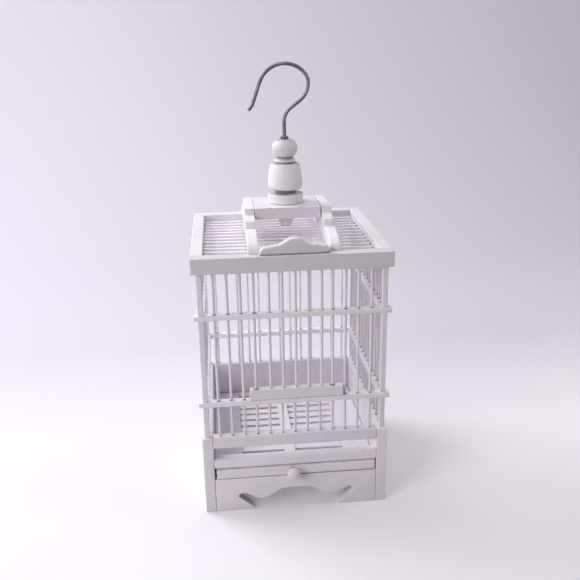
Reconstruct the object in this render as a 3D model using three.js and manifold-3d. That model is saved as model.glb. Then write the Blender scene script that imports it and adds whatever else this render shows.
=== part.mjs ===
// A square bird cage of white-painted wood that hangs from a wire hook. A box base holds a slatted
// floor that pulls out by a knob. Four walls of thin round bars stand between corner posts, and each
// wall has two strips that its bars pass through. The front has a door that lifts: a rail, five bars
// and a small board that lies on the roof as the handle. A bridge over the barred roof carries a
// stack of turned beads, and the hook's wire runs down through them and turns in them.
// Millimetres, +Z up, the front looks towards -Y. The finished cage is set so that the origin is in
// the middle under it, on the surface that it stands on.
import * as THREE from 'three';
import { mergeVertices } from 'three/addons/utils/BufferGeometryUtils.js';
import Module from 'manifold-3d';

const wasm = await Module();
wasm.setup();

// Fits
const clearance = 0.3; // between pieces that are fitted or rest on one another
const slidingClearance = 0.5; // round a bar that slides, and round the bars that guide it

// Base
const baseWidth = 196;
const baseDepth = 196;
const boardThickness = 11; // sides, back and the rails of the front
const topRailHeight = 12;
const slotHeight = 14; // open slot under the top rail
const middleRailHeight = 10;
const drawerOpening = 14;
const apronHeight = 39;

// Cut-out in the apron: reaches from the middle and heights from the floor
const cutCrownReach = 11;
const cutCrownHeight = 24;
const cutDipReach = 38;
const cutDipHeight = 12.5;
const cutWingReach = 57;
const cutWingHeight = 20.5;
const cutTipReach = 62.5;
const cutTipHeight = 16.5;
const cutHeelReach = 49;
const cutHeelHeight = 5;
const cutToeReach = 46;

// Pull-out floor
const drawerSideGap = 1;
const drawerEdgeGap = 0.8; // above and below the drawer's front
const drawerBackGap = 3;
const drawerFrontThickness = 8;
const stileWidth = 30;
const stileThickness = 9;
const stileTopDrop = 2.2; // below the top edge of the drawer's front
const ledgeWidth = 4; // carries the ends of the slats and of the back rail
const ledgeThickness = 2.7;
const slatWidth = 10;
const slatThickness = 3;
const slatPitch = 14.5;
const battenWidth = 12;
const battenThickness = 3;
const backRailWidth = 10;
const runnerWidth = 8;
const runnerHeight = 8;

// Knob, which stands a little left of the middle, as the batten does
const knobOffset = -3.5;
const knobLength = 12.5;
const knobRadius = 6.6;
const knobHeadLength = 9;
const knobStemRadius = 3.4;
const knobSpigotRadius = 2;
const knobSpigotLength = 5;

// Walls
const wallHeight = 180; // from the base to the roof
const postSize = 5.5;
const barDiameter = 3;
const barCount = 13; // bars in each wall and in the roof
const barSeat = 5; // how deep bars and posts are let in
const stripHeight = 5;
const stripDepth = 9;
const stripOverhang = 2.5; // of the front and back strips past the side ones
const lowerStripLift = 36; // underside of the lower strips above the base
const upperStripLift = 131;

// Door
const doorBarCount = 5;
const middleOffset = 2; // the door, the bridge and the hook stand a little right of the middle
const doorRailHeight = 11;
const doorRailDepth = 9;
const doorRailEnd = 9; // past the outer guide bars
const doorBarSeat = 6;
const handleThickness = 9;
const handleHeight = 16;
const handleCrownReach = 1.5; // half the flat of its peak
const handleShoulderReach = 18;
const handleShoulderHeight = 9.3;
const handleEndHeight = 7.5;
const handleEndRound = 6;

// Roof
const roofHeight = 16;
const roofOverhang = 2; // past the base
const roofSideLip = 4.5; // roof rails reach this far inside the line of the bars
const roofFrontLip = 6.5;

// Bridge: reaches from the middle and heights above the roof
const bridgeHeight = 31.5;
const bridgeGap = 70.5; // clear width between its two sides
const bridgeSideThickness = 10;
const bridgeBoardThickness = 12;
const bridgeBoardReach = 29;
const bridgeLedgeHeight = 24.5;
const bridgeLedgeReach = 45;
const bridgeLedgeEnd = 20;
const bridgeNotchHeight = 12;
const bridgeLobeReach = 58;
const bridgeLobeHeight = 15.5;
const bridgeToeSetback = 10; // from the roof's front and back edges
const bridgeToeHeight = 1.5;

// Turned beads, from the bridge upwards
const collarRadius = 19;
const collarHeight = 9.7;
const collarRound = 0.8;
const neckRadius = 11.1;
const neckHeight = 4;
const bellHeight = 27.4;
const bellFootRadius = 15.2;
const bellRadius = 19; // at its belly, low down
const bellBellyHeight = 4.5;
const bellSideBulge = 0.4; // of the side past the straight line from the belly to the shoulder
const bellShoulderRadius = 16.3;
const bellShoulderHeight = 23.5;
const bellCapRadius = 15.4; // where the lines of the side and of the top would meet
const bellTopRadius = 12.6;
const ringCoreRadius = 9.2;
const ringRadius = 11.2;
const ringRise = 1.1; // bare core below and above the ring
const ringHeight = 5.3;
const ballRadius = 13.5;
const ballFlatRadius = 8;
const ballHeight = 18.8;

// Hook: the wire lies in one plane, and its bends are given from the beads to the tip
const wireDiameter = 3.8;
const ferruleRadius = 4.2;
const ferruleHeight = 2.8;
const shaftLength = 14.7; // straight wire above the ferrule
const neckBendRadius = 17.5; // leans the wire to the right
const neckBendAngle = 53;
const swanLength = 12;
const sideBendRadius = 22.5; // brings it upright again
const shoulderBendRadius = 13.7;
const shoulderBendAngle = 38;
const crownBendRadius = 27.3;
const crownBendAngle = 122;
const legLength = 22.8;
const lipBendRadius = 8; // turns the lip out
const lipBendAngle = 18;
const lipLength = 5.5;
const stopBeadRadius = 7.8; // under the bridge, glued to the end of the wire
const stopBeadFlatRadius = 5;
const stopBeadHeight = 13.5;
const stopBeadRecess = 1; // of the wire's end in it

// Fineness
const barSides = 8;
const seatSides = 6; // blind holes, which the bars hide
const turnedSides = 24;
const smallTurnedSides = 16;
const curveSteps = 6;
const beadSteps = 12;
const bendStepAngle = 12; // degrees of a wire's bend in one step

// Sizes that follow
const barRadius = barDiameter / 2;
const wireRadius = wireDiameter / 2;
const wireHole = wireRadius + clearance;
const baseHeight = topRailHeight + slotHeight + middleRailHeight + drawerOpening + apronHeight;
const innerWidth = baseWidth - 2 * boardThickness;
const innerDepth = baseDepth - 2 * boardThickness;
const wallX = (baseWidth - boardThickness) / 2; // bars and posts stand over the middle of the boards
const wallY = (baseDepth - boardThickness) / 2;
const roofWidth = baseWidth + 2 * roofOverhang;
const roofDepth = baseDepth + 2 * roofOverhang;
const roofLevel = baseHeight + wallHeight;
const roofTop = roofLevel + roofHeight;
const bridgeTop = roofTop + bridgeHeight;
const handleWidth = bridgeGap - 2 * slidingClearance; // the handle lies between the bridge's sides
const knobReach = baseDepth / 2 + clearance + knobLength;

const barsAlongX = barPlaces(2 * wallX);
const barsAlongY = barPlaces(2 * wallY);
const firstDoorBar = (barCount - doorBarCount) / 2;
const isDoorBar = (index) => index >= firstDoorBar && index < firstDoorBar + doorBarCount;
const shortBars = barsAlongX.filter((x, index) => isDoorBar(index)); // stand under the door
const doorBars = shortBars.map((x) => x + middleOffset);
const fixedBars = barsAlongX.filter((x, index) => !isDoorBar(index));
const guideBars = [barsAlongX[firstDoorBar - 1], barsAlongX[firstDoorBar + doorBarCount]];

function barPlaces(length) {
  const pitch = length / (barCount + 1);
  return Array.from({ length: barCount }, (_, index) => (index + 1) * pitch - length / 2);
}

// Solids

function solidFrom(geometry) {
  const bare = geometry.index ? geometry.toNonIndexed() : geometry.clone();
  bare.deleteAttribute('normal');
  bare.deleteAttribute('uv');
  const merged = mergeVertices(bare, 1e-4);
  return new wasm.Manifold(
    new wasm.Mesh({
      numProp: 3,
      vertProperties: merged.attributes.position.array,
      triVerts: new Uint32Array(merged.index.array),
    }),
  );
}

function geometryFrom(solid) {
  const { vertProperties, triVerts } = solid.getMesh();
  const geometry = new THREE.BufferGeometry();
  geometry.setAttribute('position', new THREE.BufferAttribute(vertProperties, 3));
  geometry.setIndex(new THREE.BufferAttribute(triVerts, 1));
  geometry.computeVertexNormals();
  return geometry;
}

const fuse = (first, ...others) => others.reduce((whole, other) => whole.add(other), first);
const cut = (first, ...tools) => tools.reduce((whole, tool) => whole.subtract(tool), first);

// A box centred on x and y, with its underside at z.
function block(width, depth, height, x = 0, y = 0, z = 0) {
  return solidFrom(new THREE.BoxGeometry(width, depth, height).translate(x, y, z + height / 2));
}

// An upright round rod between two heights.
function rod(x, y, bottom, top, radius, sides = barSides) {
  const geometry = new THREE.CylinderGeometry(radius, radius, top - bottom, sides);
  return solidFrom(geometry.rotateX(Math.PI / 2).translate(x, y, (bottom + top) / 2));
}

// A round rod along X, between two places.
function rodAcross(left, right, y, z, radius, sides = barSides) {
  const geometry = new THREE.CylinderGeometry(radius, radius, right - left, sides);
  return solidFrom(geometry.rotateZ(Math.PI / 2).translate((left + right) / 2, y, z));
}

const flatPoint = ([x, y]) => new THREE.Vector2(x, y);

// An S-shaped stretch of an edge, level at both its ends.
function easeEdge([x0, y0], [x1, y1]) {
  return Array.from({ length: curveSteps + 1 }, (_, step) => {
    const share = step / curveSteps;
    return [x0 + share * (x1 - x0), y0 + ((1 - Math.cos(Math.PI * share)) / 2) * (y1 - y0)];
  });
}

// A stretch of an edge that rounds a corner.
function roundEdge(from, corner, to) {
  const curve = new THREE.QuadraticBezierCurve(flatPoint(from), flatPoint(corner), flatPoint(to));
  return curve.getPoints(curveSteps).map(({ x, y }) => [x, y]);
}

// An upright board, centred on its thickness along Y. Its outline is symmetrical, and its right half
// is given from the top to the bottom as [x, z].
function outlineBoard(rightEdge, thickness) {
  const leftEdge = rightEdge.map(([x, z]) => [-x, z]).reverse();
  const shape = new THREE.Shape([...rightEdge, ...leftEdge].map(flatPoint));
  const geometry = new THREE.ExtrudeGeometry(shape, { depth: thickness, bevelEnabled: false });
  return solidFrom(geometry.rotateX(Math.PI / 2).translate(0, thickness / 2, 0));
}

// The edge of an oval bead from its lower flat to its upper one, as [radius, height].
function ovalEdge(radius, halfHeight, centre, lowerRadius, upperRadius, steps) {
  const from = -Math.acos(lowerRadius / radius);
  const to = Math.acos(upperRadius / radius);
  return Array.from({ length: steps + 1 }, (_, step) => {
    const angle = from + ((to - from) * step) / steps;
    return [radius * Math.cos(angle), centre + halfHeight * Math.sin(angle)];
  });
}

// An oval bead of a full height between two flats.
function ovalBeadEdge(radius, flatRadius, height, steps) {
  const halfOval = height / 2 / Math.sin(Math.acos(flatRadius / radius));
  return ovalEdge(radius, halfOval, height / 2, flatRadius, flatRadius, steps);
}

// A bead turned about Z, bored for the wire. Its edge runs upwards from height 0.
function bead(edge, sides = turnedSides) {
  const bottom = edge[0][1];
  const top = edge.at(-1)[1];
  const outline = [[wireHole, bottom], ...edge, [wireHole, top], [wireHole, bottom]].map(flatPoint);
  return solidFrom(new THREE.LatheGeometry(outline, sides).rotateX(Math.PI / 2));
}

// Materials and placing

const whitePaint = { color: 0xe9e4ec, roughness: 0.55, metalness: 0 };
const darkWood = { color: 0x4b362c, roughness: 0.8, metalness: 0 };
const wireSteel = { color: 0x5a5862, roughness: 0.4, metalness: 0.9 };

function piece(name, solid, finish = whitePaint) {
  const mesh = new THREE.Mesh(geometryFrom(solid), new THREE.MeshStandardMaterial(finish));
  mesh.name = name;
  return mesh;
}

function placed(member, x, y, z, turn = 0) {
  member.position.set(x, y, z);
  member.rotation.z = turn;
  return member;
}

function assembly(...members) {
  const group = new THREE.Group();
  group.add(...members);
  return group;
}

const quarterTurn = Math.PI / 2;

// Holes, each open at the face that it is bored from, and mortises for the posts

const barHole = barRadius + clearance;
const barSeatHole = barHole / Math.cos(Math.PI / seatSides); // its flats keep the clearance
const slidingHole = barRadius + slidingClearance;
const seatDepth = barSeat + clearance;
const mortiseSize = postSize + 2 * clearance;
const throughFace = 1; // a cutter's reach past the face that it opens

const seatsFromAbove = (places, face, depth = seatDepth) =>
  places.map((x) => rod(x, 0, face - depth, face + throughFace, barSeatHole, seatSides));
const seatsFromBelow = (places, x = 0, turned = false) =>
  places.map((place) => {
    const [seatX, seatY] = turned ? [x, place] : [place, 0];
    return rod(seatX, seatY, -throughFace, seatDepth, barSeatHole, seatSides);
  });
const holesThrough = (places, height, radius) =>
  places.map((x) => rod(x, 0, -throughFace, height + throughFace, radius));
const mortises = (x, y, level, height) =>
  [-x, x].map((place) => block(mortiseSize, mortiseSize, height, place, y, level));

// Base

// Drawn along X and turned, so that its length lies front to back.
function baseSide(name, side) {
  const board = block(baseDepth, boardThickness, baseHeight);
  const postSeats = mortises(wallY, 0, baseHeight - seatDepth, seatDepth + throughFace);
  const solid = cut(board, ...seatsFromAbove(barsAlongY, baseHeight), ...postSeats);
  return placed(piece(name, solid), side * wallX, 0, 0, quarterTurn);
}

const betweenSides = innerWidth - 2 * clearance;

function baseBackPanel() {
  const board = block(betweenSides, boardThickness, baseHeight);
  const solid = cut(board, ...seatsFromAbove(barsAlongX, baseHeight));
  return placed(piece('base_back_panel', solid), 0, wallY, 0);
}

function baseTopRail() {
  const board = block(betweenSides, boardThickness, topRailHeight);
  const solid = cut(board, ...seatsFromAbove(barsAlongX, topRailHeight));
  return placed(piece('base_top_rail', solid), 0, -wallY, baseHeight - topRailHeight);
}

function baseMiddleRail() {
  const rail = piece('base_middle_rail', block(betweenSides, boardThickness, middleRailHeight));
  return placed(rail, 0, -wallY, apronHeight + drawerOpening);
}

function baseApron() {
  const edge = [
    [betweenSides / 2, apronHeight],
    [betweenSides / 2, 0],
    [cutToeReach, 0],
    [cutHeelReach, cutHeelHeight],
    ...roundEdge(
      [cutTipReach, cutTipHeight],
      [cutTipReach, cutWingHeight],
      [cutWingReach, cutWingHeight],
    ),
    ...easeEdge([cutWingReach, cutWingHeight], [cutDipReach, cutDipHeight]).slice(1),
    ...easeEdge([cutDipReach, cutDipHeight], [cutCrownReach, cutCrownHeight]).slice(1),
  ];
  return placed(piece('base_apron', outlineBoard(edge, boardThickness)), 0, -wallY, 0);
}

// Pull-out floor. Its front is flush with the base, and its stiles slide on the runners.

const drawerFrontHeight = drawerOpening - 2 * drawerEdgeGap;
const drawerWidth = innerWidth - 2 * drawerSideGap;
const drawerLevel = apronHeight + drawerEdgeGap;
const stileLevel = drawerLevel + drawerFrontHeight - stileTopDrop - stileThickness;
const slatLevel = stileLevel + ledgeThickness + clearance;
const slatReach = drawerWidth / 2 - stileWidth - clearance;
const floorFront = -baseDepth / 2 + drawerFrontThickness + clearance;
const floorBack = innerDepth / 2 - drawerBackGap;
const slatsBack = floorBack - backRailWidth - clearance;
const knobLevel = drawerLevel + drawerFrontHeight / 2;

function runner(name, side) {
  const solid = block(runnerWidth, innerDepth - 2 * clearance, runnerHeight);
  const x = innerWidth / 2 - clearance - runnerWidth / 2;
  return placed(piece(name, solid), side * x, 0, stileLevel - clearance - runnerHeight);
}

function drawerFront() {
  const board = block(drawerWidth, drawerFrontThickness, drawerFrontHeight);
  const face = -drawerFrontThickness / 2;
  const holeDepth = knobSpigotLength + clearance;
  const hole = new THREE.CylinderGeometry(
    knobSpigotRadius + clearance,
    knobSpigotRadius + clearance,
    holeDepth + throughFace,
    barSides,
  );
  hole.translate(knobOffset, face + (holeDepth - throughFace) / 2, drawerFrontHeight / 2);
  const y = (-baseDepth + drawerFrontThickness) / 2;
  return placed(piece('drawer_front', cut(board, solidFrom(hole))), 0, y, drawerLevel);
}

function drawerKnob() {
  const headHalf = knobHeadLength / 2;
  const headCentre = clearance + knobLength - headHalf;
  const outline = [
    [0, -knobSpigotLength],
    [knobSpigotRadius, -knobSpigotLength],
    [knobSpigotRadius, clearance],
    [knobStemRadius, clearance],
    ...ovalEdge(knobRadius, headHalf, headCentre, knobStemRadius, 0, curveSteps),
  ];
  const geometry = new THREE.LatheGeometry(outline.map(flatPoint), smallTurnedSides);
  const knob = piece('drawer_knob', solidFrom(geometry.rotateZ(Math.PI)));
  return placed(knob, knobOffset, -baseDepth / 2, knobLevel);
}

function drawerStile(name, side) {
  const length = floorBack - floorFront;
  const outer = side * (drawerWidth / 2);
  const whole = stileWidth + ledgeWidth;
  const board = block(whole, length, stileThickness, outer - (side * whole) / 2);
  const rabbet = block(
    ledgeWidth + throughFace,
    length + 2 * throughFace,
    stileThickness,
    outer - side * (stileWidth + (ledgeWidth + throughFace) / 2),
    0,
    ledgeThickness,
  );
  return placed(piece(name, cut(board, rabbet)), 0, (floorFront + floorBack) / 2, stileLevel);
}

function drawerBackRail() {
  const thickness = stileLevel + stileThickness - slatLevel;
  const rail = piece('drawer_back_rail', block(2 * slatReach, backRailWidth, thickness));
  return placed(rail, 0, floorBack - backRailWidth / 2, slatLevel);
}

function drawerSlats() {
  const room = slatsBack - floorFront;
  const count = Math.floor((room + slatPitch - slatWidth) / slatPitch);
  const slats = Array.from({ length: count }, (_, index) =>
    block(2 * slatReach, slatWidth, slatThickness, 0, (index - (count - 1) / 2) * slatPitch),
  );
  const batten = block(battenWidth, room, battenThickness, knobOffset, 0, slatThickness);
  const solid = fuse(batten, ...slats);
  return placed(piece('drawer_slats', solid), 0, (floorFront + slatsBack) / 2, slatLevel);
}

// Walls

const lowerStripLevel = baseHeight + lowerStripLift;
const upperStripLevel = baseHeight + upperStripLift;
const longStrip = 2 * wallX + stripDepth + 2 * stripOverhang;
const shortStrip = 2 * wallY - stripDepth - 2 * clearance;
const barFoot = baseHeight - barSeat;
const barHead = roofLevel + barSeat;

function cornerPost(name, x, y) {
  return placed(piece(name, block(postSize, postSize, barHead - barFoot)), x, y, barFoot);
}

function strip(length) {
  const bar = block(length, stripDepth, stripHeight);
  const withPosts = length > 2 * wallX;
  return withPosts ? cut(bar, ...mortises(wallX, 0, -throughFace, stripHeight + 2 * throughFace)) : bar;
}

// All bars of a wall with the lower strip that holds them, drawn along X.
function grille(name, places, length) {
  const bars = places.map((x) =>
    rod(x, 0, barFoot - lowerStripLevel, barHead - lowerStripLevel, barRadius),
  );
  return piece(name, fuse(strip(length), ...bars));
}

function upperStrip(name, places, length) {
  return piece(name, cut(strip(length), ...holesThrough(places, stripHeight, barHole)));
}

function backWall() {
  return assembly(
    placed(grille('back_bars_and_lower_strip', barsAlongX, longStrip), 0, wallY, lowerStripLevel),
    placed(upperStrip('back_upper_strip', barsAlongX, longStrip), 0, wallY, upperStripLevel),
  );
}

function sideWall(wall, side) {
  const bars = grille(`${wall}_bars_and_lower_strip`, barsAlongY, shortStrip);
  const upper = upperStrip(`${wall}_upper_strip`, barsAlongY, shortStrip);
  return assembly(
    placed(bars, side * wallX, 0, lowerStripLevel, quarterTurn),
    placed(upper, side * wallX, 0, upperStripLevel, quarterTurn),
  );
}

// The front's lower strip holds the short bars under the door, and the long bars pass through it.
function frontLowerStrip() {
  const short = shortBars.map((x) => rod(x, 0, -lowerStripLift - barSeat, stripHeight / 2, barRadius));
  const bored = cut(strip(longStrip), ...holesThrough(fixedBars, stripHeight, barHole));
  return placed(piece('front_lower_strip', fuse(bored, ...short)), 0, -wallY, lowerStripLevel);
}

function frontUpperStrip() {
  const fixedHoles = holesThrough(fixedBars, stripHeight, barHole);
  const doorHoles = holesThrough(doorBars, stripHeight, slidingHole);
  const solid = cut(strip(longStrip), ...fixedHoles, ...doorHoles);
  return placed(piece('front_upper_strip', solid), 0, -wallY, upperStripLevel);
}

function frontBars() {
  return fixedBars.map((x, index) =>
    placed(piece(`front_bar_${index + 1}`, rod(0, 0, barFoot, barHead, barRadius)), x, -wallY, 0),
  );
}

// Lift door

const doorLevel = lowerStripLevel + stripHeight + clearance;
const handleLevel = roofTop + clearance;

function doorRail() {
  const width = guideBars[1] - guideBars[0] + 2 * doorRailEnd;
  const seats = seatsFromAbove(doorBars, doorRailHeight, doorBarSeat + clearance);
  const guides = holesThrough(guideBars, doorRailHeight, slidingHole);
  const board = block(width, doorRailDepth, doorRailHeight, middleOffset);
  const solid = cut(board, ...seats, ...guides);
  return placed(piece('door_rail', solid), 0, -wallY, doorLevel);
}

function doorBarPieces() {
  const bottom = doorLevel + doorRailHeight - doorBarSeat;
  const top = handleLevel + barSeat;
  return doorBars.map((x, index) =>
    placed(piece(`door_bar_${index + 1}`, rod(0, 0, bottom, top, barRadius)), x, -wallY, 0),
  );
}

function doorHandleBoard() {
  const end = handleWidth / 2;
  const edge = [
    ...easeEdge([handleCrownReach, handleHeight], [handleShoulderReach, handleShoulderHeight]),
    ...roundEdge([end - handleEndRound, handleEndHeight], [end, handleEndHeight], [end, 0]),
  ];
  const solid = cut(outlineBoard(edge, handleThickness), ...seatsFromBelow(shortBars));
  return placed(piece('door_handle_board', solid), middleOffset, -wallY, handleLevel);
}

// Roof

const roofRailInnerX = wallX - roofSideLip;
const roofRailInnerY = wallY - roofFrontLip;
const roofBarLevel = roofHeight / 2;

// The front and back rails run the full width, and the side rails fit between them.
function roofLongRail(name, side, bored) {
  const depth = roofDepth / 2 - roofRailInnerY;
  const middle = side * (roofRailInnerY + depth / 2);
  const board = block(roofWidth, depth, roofHeight, 0, middle - side * wallY);
  const postSeats = mortises(wallX, 0, -throughFace, seatDepth + throughFace);
  return placed(piece(name, cut(board, ...bored, ...postSeats)), 0, side * wallY, roofLevel);
}

function roofFrontRail() {
  const seats = seatsFromBelow(fixedBars);
  return roofLongRail('roof_front_rail', -1, [...seats, ...holesThrough(doorBars, roofHeight, slidingHole)]);
}

function roofSideRail(side) {
  const width = roofWidth / 2 - roofRailInnerX;
  const length = 2 * (roofRailInnerY - clearance);
  const board = block(width, length, roofHeight, side * (roofRailInnerX + width / 2));
  return cut(board, ...seatsFromBelow(barsAlongY, side * wallX, true));
}

// The left rail holds the roof's bars, and their other ends are let into the right rail.
function roofLeftRail() {
  const reach = roofRailInnerX + barSeat;
  const bars = barsAlongY.map((y) =>
    rodAcross(-roofRailInnerX - barRadius, reach, y, roofBarLevel, barRadius),
  );
  return placed(piece('roof_left_rail', fuse(roofSideRail(-1), ...bars)), 0, 0, roofLevel);
}

function roofRightRail() {
  const inner = roofRailInnerX - throughFace;
  const bottom = roofRailInnerX + seatDepth;
  const seats = barsAlongY.map((y) =>
    rodAcross(inner, bottom, y, roofBarLevel, barSeatHole, seatSides),
  );
  return placed(piece('roof_right_rail', cut(roofSideRail(1), ...seats)), 0, 0, roofLevel);
}

// Bridge. Its sides stand on the roof's front and back rails and are drawn along X, then turned.

function bridgeSide(name, side) {
  const toe = roofDepth / 2 - bridgeToeSetback;
  const height = bridgeHeight - clearance;
  const edge = [
    [bridgeBoardReach, height],
    ...roundEdge(
      [bridgeBoardReach, bridgeLedgeHeight],
      [bridgeLedgeReach, bridgeLedgeHeight],
      [bridgeLedgeReach, bridgeLedgeEnd],
    ),
    ...roundEdge(
      [bridgeLedgeReach, bridgeNotchHeight],
      [bridgeLedgeReach, bridgeLobeHeight],
      [bridgeLobeReach, bridgeLobeHeight],
    ),
    ...roundEdge(
      [bridgeLobeReach, bridgeLobeHeight],
      [toe, bridgeLobeHeight],
      [toe, bridgeToeHeight],
    ).slice(1),
    [toe, 0],
  ];
  const x = side * (bridgeGap + bridgeSideThickness) * 0.5;
  const mesh = piece(name, outlineBoard(edge, bridgeSideThickness));
  return placed(mesh, x, 0, roofTop + clearance, quarterTurn);
}

function bridgeCrossBoard() {
  const board = block(bridgeGap - 2 * clearance, 2 * bridgeBoardReach, bridgeBoardThickness);
  const solid = cut(board, ...holesThrough([0], bridgeBoardThickness, wireHole));
  return placed(piece('bridge_cross_board', solid), 0, 0, bridgeTop - bridgeBoardThickness);
}

// Turned beads

const collarLevel = bridgeTop + clearance;
const neckLevel = collarLevel + collarHeight + clearance;
const bellLevel = neckLevel + neckHeight + clearance;
const ringLevel = bellLevel + bellHeight + clearance;
const ballLevel = ringLevel + ringHeight + clearance;
const ferruleLevel = ballLevel + ballHeight + clearance;

// A disc with eased edges.
const discEdge = (radius, bottom, top, round) => [
  [radius - round, bottom],
  [radius, bottom + round],
  [radius, top - round],
  [radius - round, top],
];

const bellEdge = [
  ...roundEdge([bellFootRadius, 0], [bellRadius, 0], [bellRadius, bellBellyHeight]),
  ...roundEdge(
    [bellRadius, bellBellyHeight],
    [
      (bellRadius + bellShoulderRadius) / 2 + 2 * bellSideBulge,
      (bellBellyHeight + bellShoulderHeight) / 2,
    ],
    [bellShoulderRadius, bellShoulderHeight],
  ).slice(1),
  ...roundEdge(
    [bellShoulderRadius, bellShoulderHeight],
    [bellCapRadius, bellHeight],
    [bellTopRadius, bellHeight],
  ).slice(1),
];

const ringEdge = [
  [ringCoreRadius, 0],
  ...discEdge(ringRadius, ringRise, ringHeight - ringRise, ringRise / 2),
  [ringCoreRadius, ringHeight],
];

function turnedBeads() {
  const collar = bead(discEdge(collarRadius, 0, collarHeight, collarRound));
  const neck = bead([[neckRadius, 0], [neckRadius, neckHeight]]);
  const ball = bead(ovalBeadEdge(ballRadius, ballFlatRadius, ballHeight, beadSteps));
  return assembly(
    placed(piece('finial_collar', collar), 0, 0, collarLevel),
    placed(piece('finial_neck', neck, darkWood), 0, 0, neckLevel),
    placed(piece('finial_bell', bead(bellEdge)), 0, 0, bellLevel),
    placed(piece('finial_ring', bead(ringEdge)), 0, 0, ringLevel),
    placed(piece('finial_ball', ball), 0, 0, ballLevel),
  );
}

// Hook. Its wire turns in the beads and is kept in them by the stop bead and its bent end.

const stopBeadLevel = bridgeTop - bridgeBoardThickness - clearance - stopBeadHeight;
const wireTop = ferruleLevel + ferruleHeight + shaftLength;

// A wire bent in one upright plane over X, given as straight stretches and as bends.
class BentWire extends THREE.Curve {
  constructor([x, z], heading, stretches) {
    super();
    this.places = [flatPoint([x, z])];
    this.heading = THREE.MathUtils.degToRad(heading);
    stretches.forEach(({ length, radius, turn }) => (radius ? this.bend(radius, turn) : this.run(length)));
    this.steps = this.places.length - 1;
  }

  run(length) {
    const way = flatPoint([Math.cos(this.heading), Math.sin(this.heading)]);
    this.places.push(this.places.at(-1).clone().addScaledVector(way, length));
  }

  // Turns to the left, or to the right where the turn is negative.
  bend(radius, turn) {
    const count = Math.ceil(Math.abs(turn) / bendStepAngle);
    const part = THREE.MathUtils.degToRad(turn / count);
    const chord = 2 * radius * Math.sin(Math.abs(part) / 2);
    for (let step = 0; step < count; step++) {
      this.heading += part / 2;
      this.run(chord);
      this.heading += part / 2;
    }
  }

  // The steps aren't of one length.
  getUtoTmapping(share) {
    return share;
  }

  getPoint(share, target = new THREE.Vector3()) {
    const step = Math.min(Math.floor(share * this.steps), this.steps - 1);
    const place = this.places[step].clone().lerp(this.places[step + 1], share * this.steps - step);
    return target.set(place.x, 0, place.y);
  }
}

function hookLine() {
  const end = stopBeadLevel + stopBeadRecess;
  return new BentWire([0, end], 90, [
    { length: wireTop - end },
    { radius: neckBendRadius, turn: -neckBendAngle },
    { length: swanLength },
    { radius: sideBendRadius, turn: neckBendAngle },
    { radius: shoulderBendRadius, turn: shoulderBendAngle },
    { radius: crownBendRadius, turn: crownBendAngle },
    { length: legLength },
    { radius: lipBendRadius, turn: -lipBendAngle },
    { length: lipLength },
  ]);
}

function hookWire() {
  const section = Array.from({ length: barSides }, (_, side) => {
    const angle = (2 * Math.PI * (side + 0.5)) / barSides;
    return [wireRadius * Math.cos(angle), wireRadius * Math.sin(angle)];
  });
  const shape = new THREE.Shape(section.map(flatPoint));
  const extrudePath = hookLine();
  return solidFrom(new THREE.ExtrudeGeometry(shape, { steps: extrudePath.steps, extrudePath }));
}

function hookAssembly() {
  const ferruleEdge = [[ferruleRadius, 0], [ferruleRadius, ferruleHeight]];
  const ferrule = bead(ferruleEdge, smallTurnedSides);
  const stopBeadEdge = ovalBeadEdge(stopBeadRadius, stopBeadFlatRadius, stopBeadHeight, curveSteps);
  const stopBead = bead(stopBeadEdge, smallTurnedSides);
  return assembly(
    piece('hook', hookWire(), wireSteel),
    placed(piece('hook_ferrule', ferrule, wireSteel), 0, 0, ferruleLevel),
    placed(piece('hook_stop_bead', stopBead), 0, 0, stopBeadLevel),
  );
}

const base = assembly(
  baseSide('base_left_side', -1),
  baseSide('base_right_side', 1),
  baseBackPanel(),
  baseTopRail(),
  baseMiddleRail(),
  baseApron(),
  runner('drawer_runner_left', -1),
  runner('drawer_runner_right', 1),
);

const drawer = assembly(
  drawerFront(),
  drawerKnob(),
  drawerStile('drawer_left_stile', -1),
  drawerStile('drawer_right_stile', 1),
  drawerBackRail(),
  drawerSlats(),
);

const walls = assembly(
  cornerPost('corner_post_front_left', -wallX, -wallY),
  cornerPost('corner_post_front_right', wallX, -wallY),
  cornerPost('corner_post_back_left', -wallX, wallY),
  cornerPost('corner_post_back_right', wallX, wallY),
  backWall(),
  sideWall('left', -1),
  sideWall('right', 1),
  frontLowerStrip(),
  frontUpperStrip(),
  ...frontBars(),
);

const door = assembly(doorRail(), ...doorBarPieces(), doorHandleBoard());

const roof = assembly(
  roofFrontRail(),
  roofLongRail('roof_back_rail', 1, seatsFromBelow(barsAlongX)),
  roofLeftRail(),
  roofRightRail(),
);

const bridge = assembly(
  bridgeSide('bridge_left_side', -1),
  bridgeSide('bridge_right_side', 1),
  bridgeCrossBoard(),
);

const middle = placed(assembly(bridge, turnedBeads(), hookAssembly()), middleOffset, 0, 0);

const cage = assembly(base, drawer, walls, door, roof, middle);
cage.position.y = (knobReach - roofDepth / 2) / 2; // the knob stands out further than the roof does

export default cage;
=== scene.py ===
# A square bird cage of hand-painted white wood: a box base with a pull-out slatted floor, walls of
# thin round bars, a door that lifts, and a bridge with turned beads under a wire hook.
# The cage's sizes are in millimetres and become metres when a mesh is made. The camera, the lamps
# and the room are in metres.
import math
import bpy
import numpy as np
from mathutils import Matrix, Vector, geometry


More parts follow.
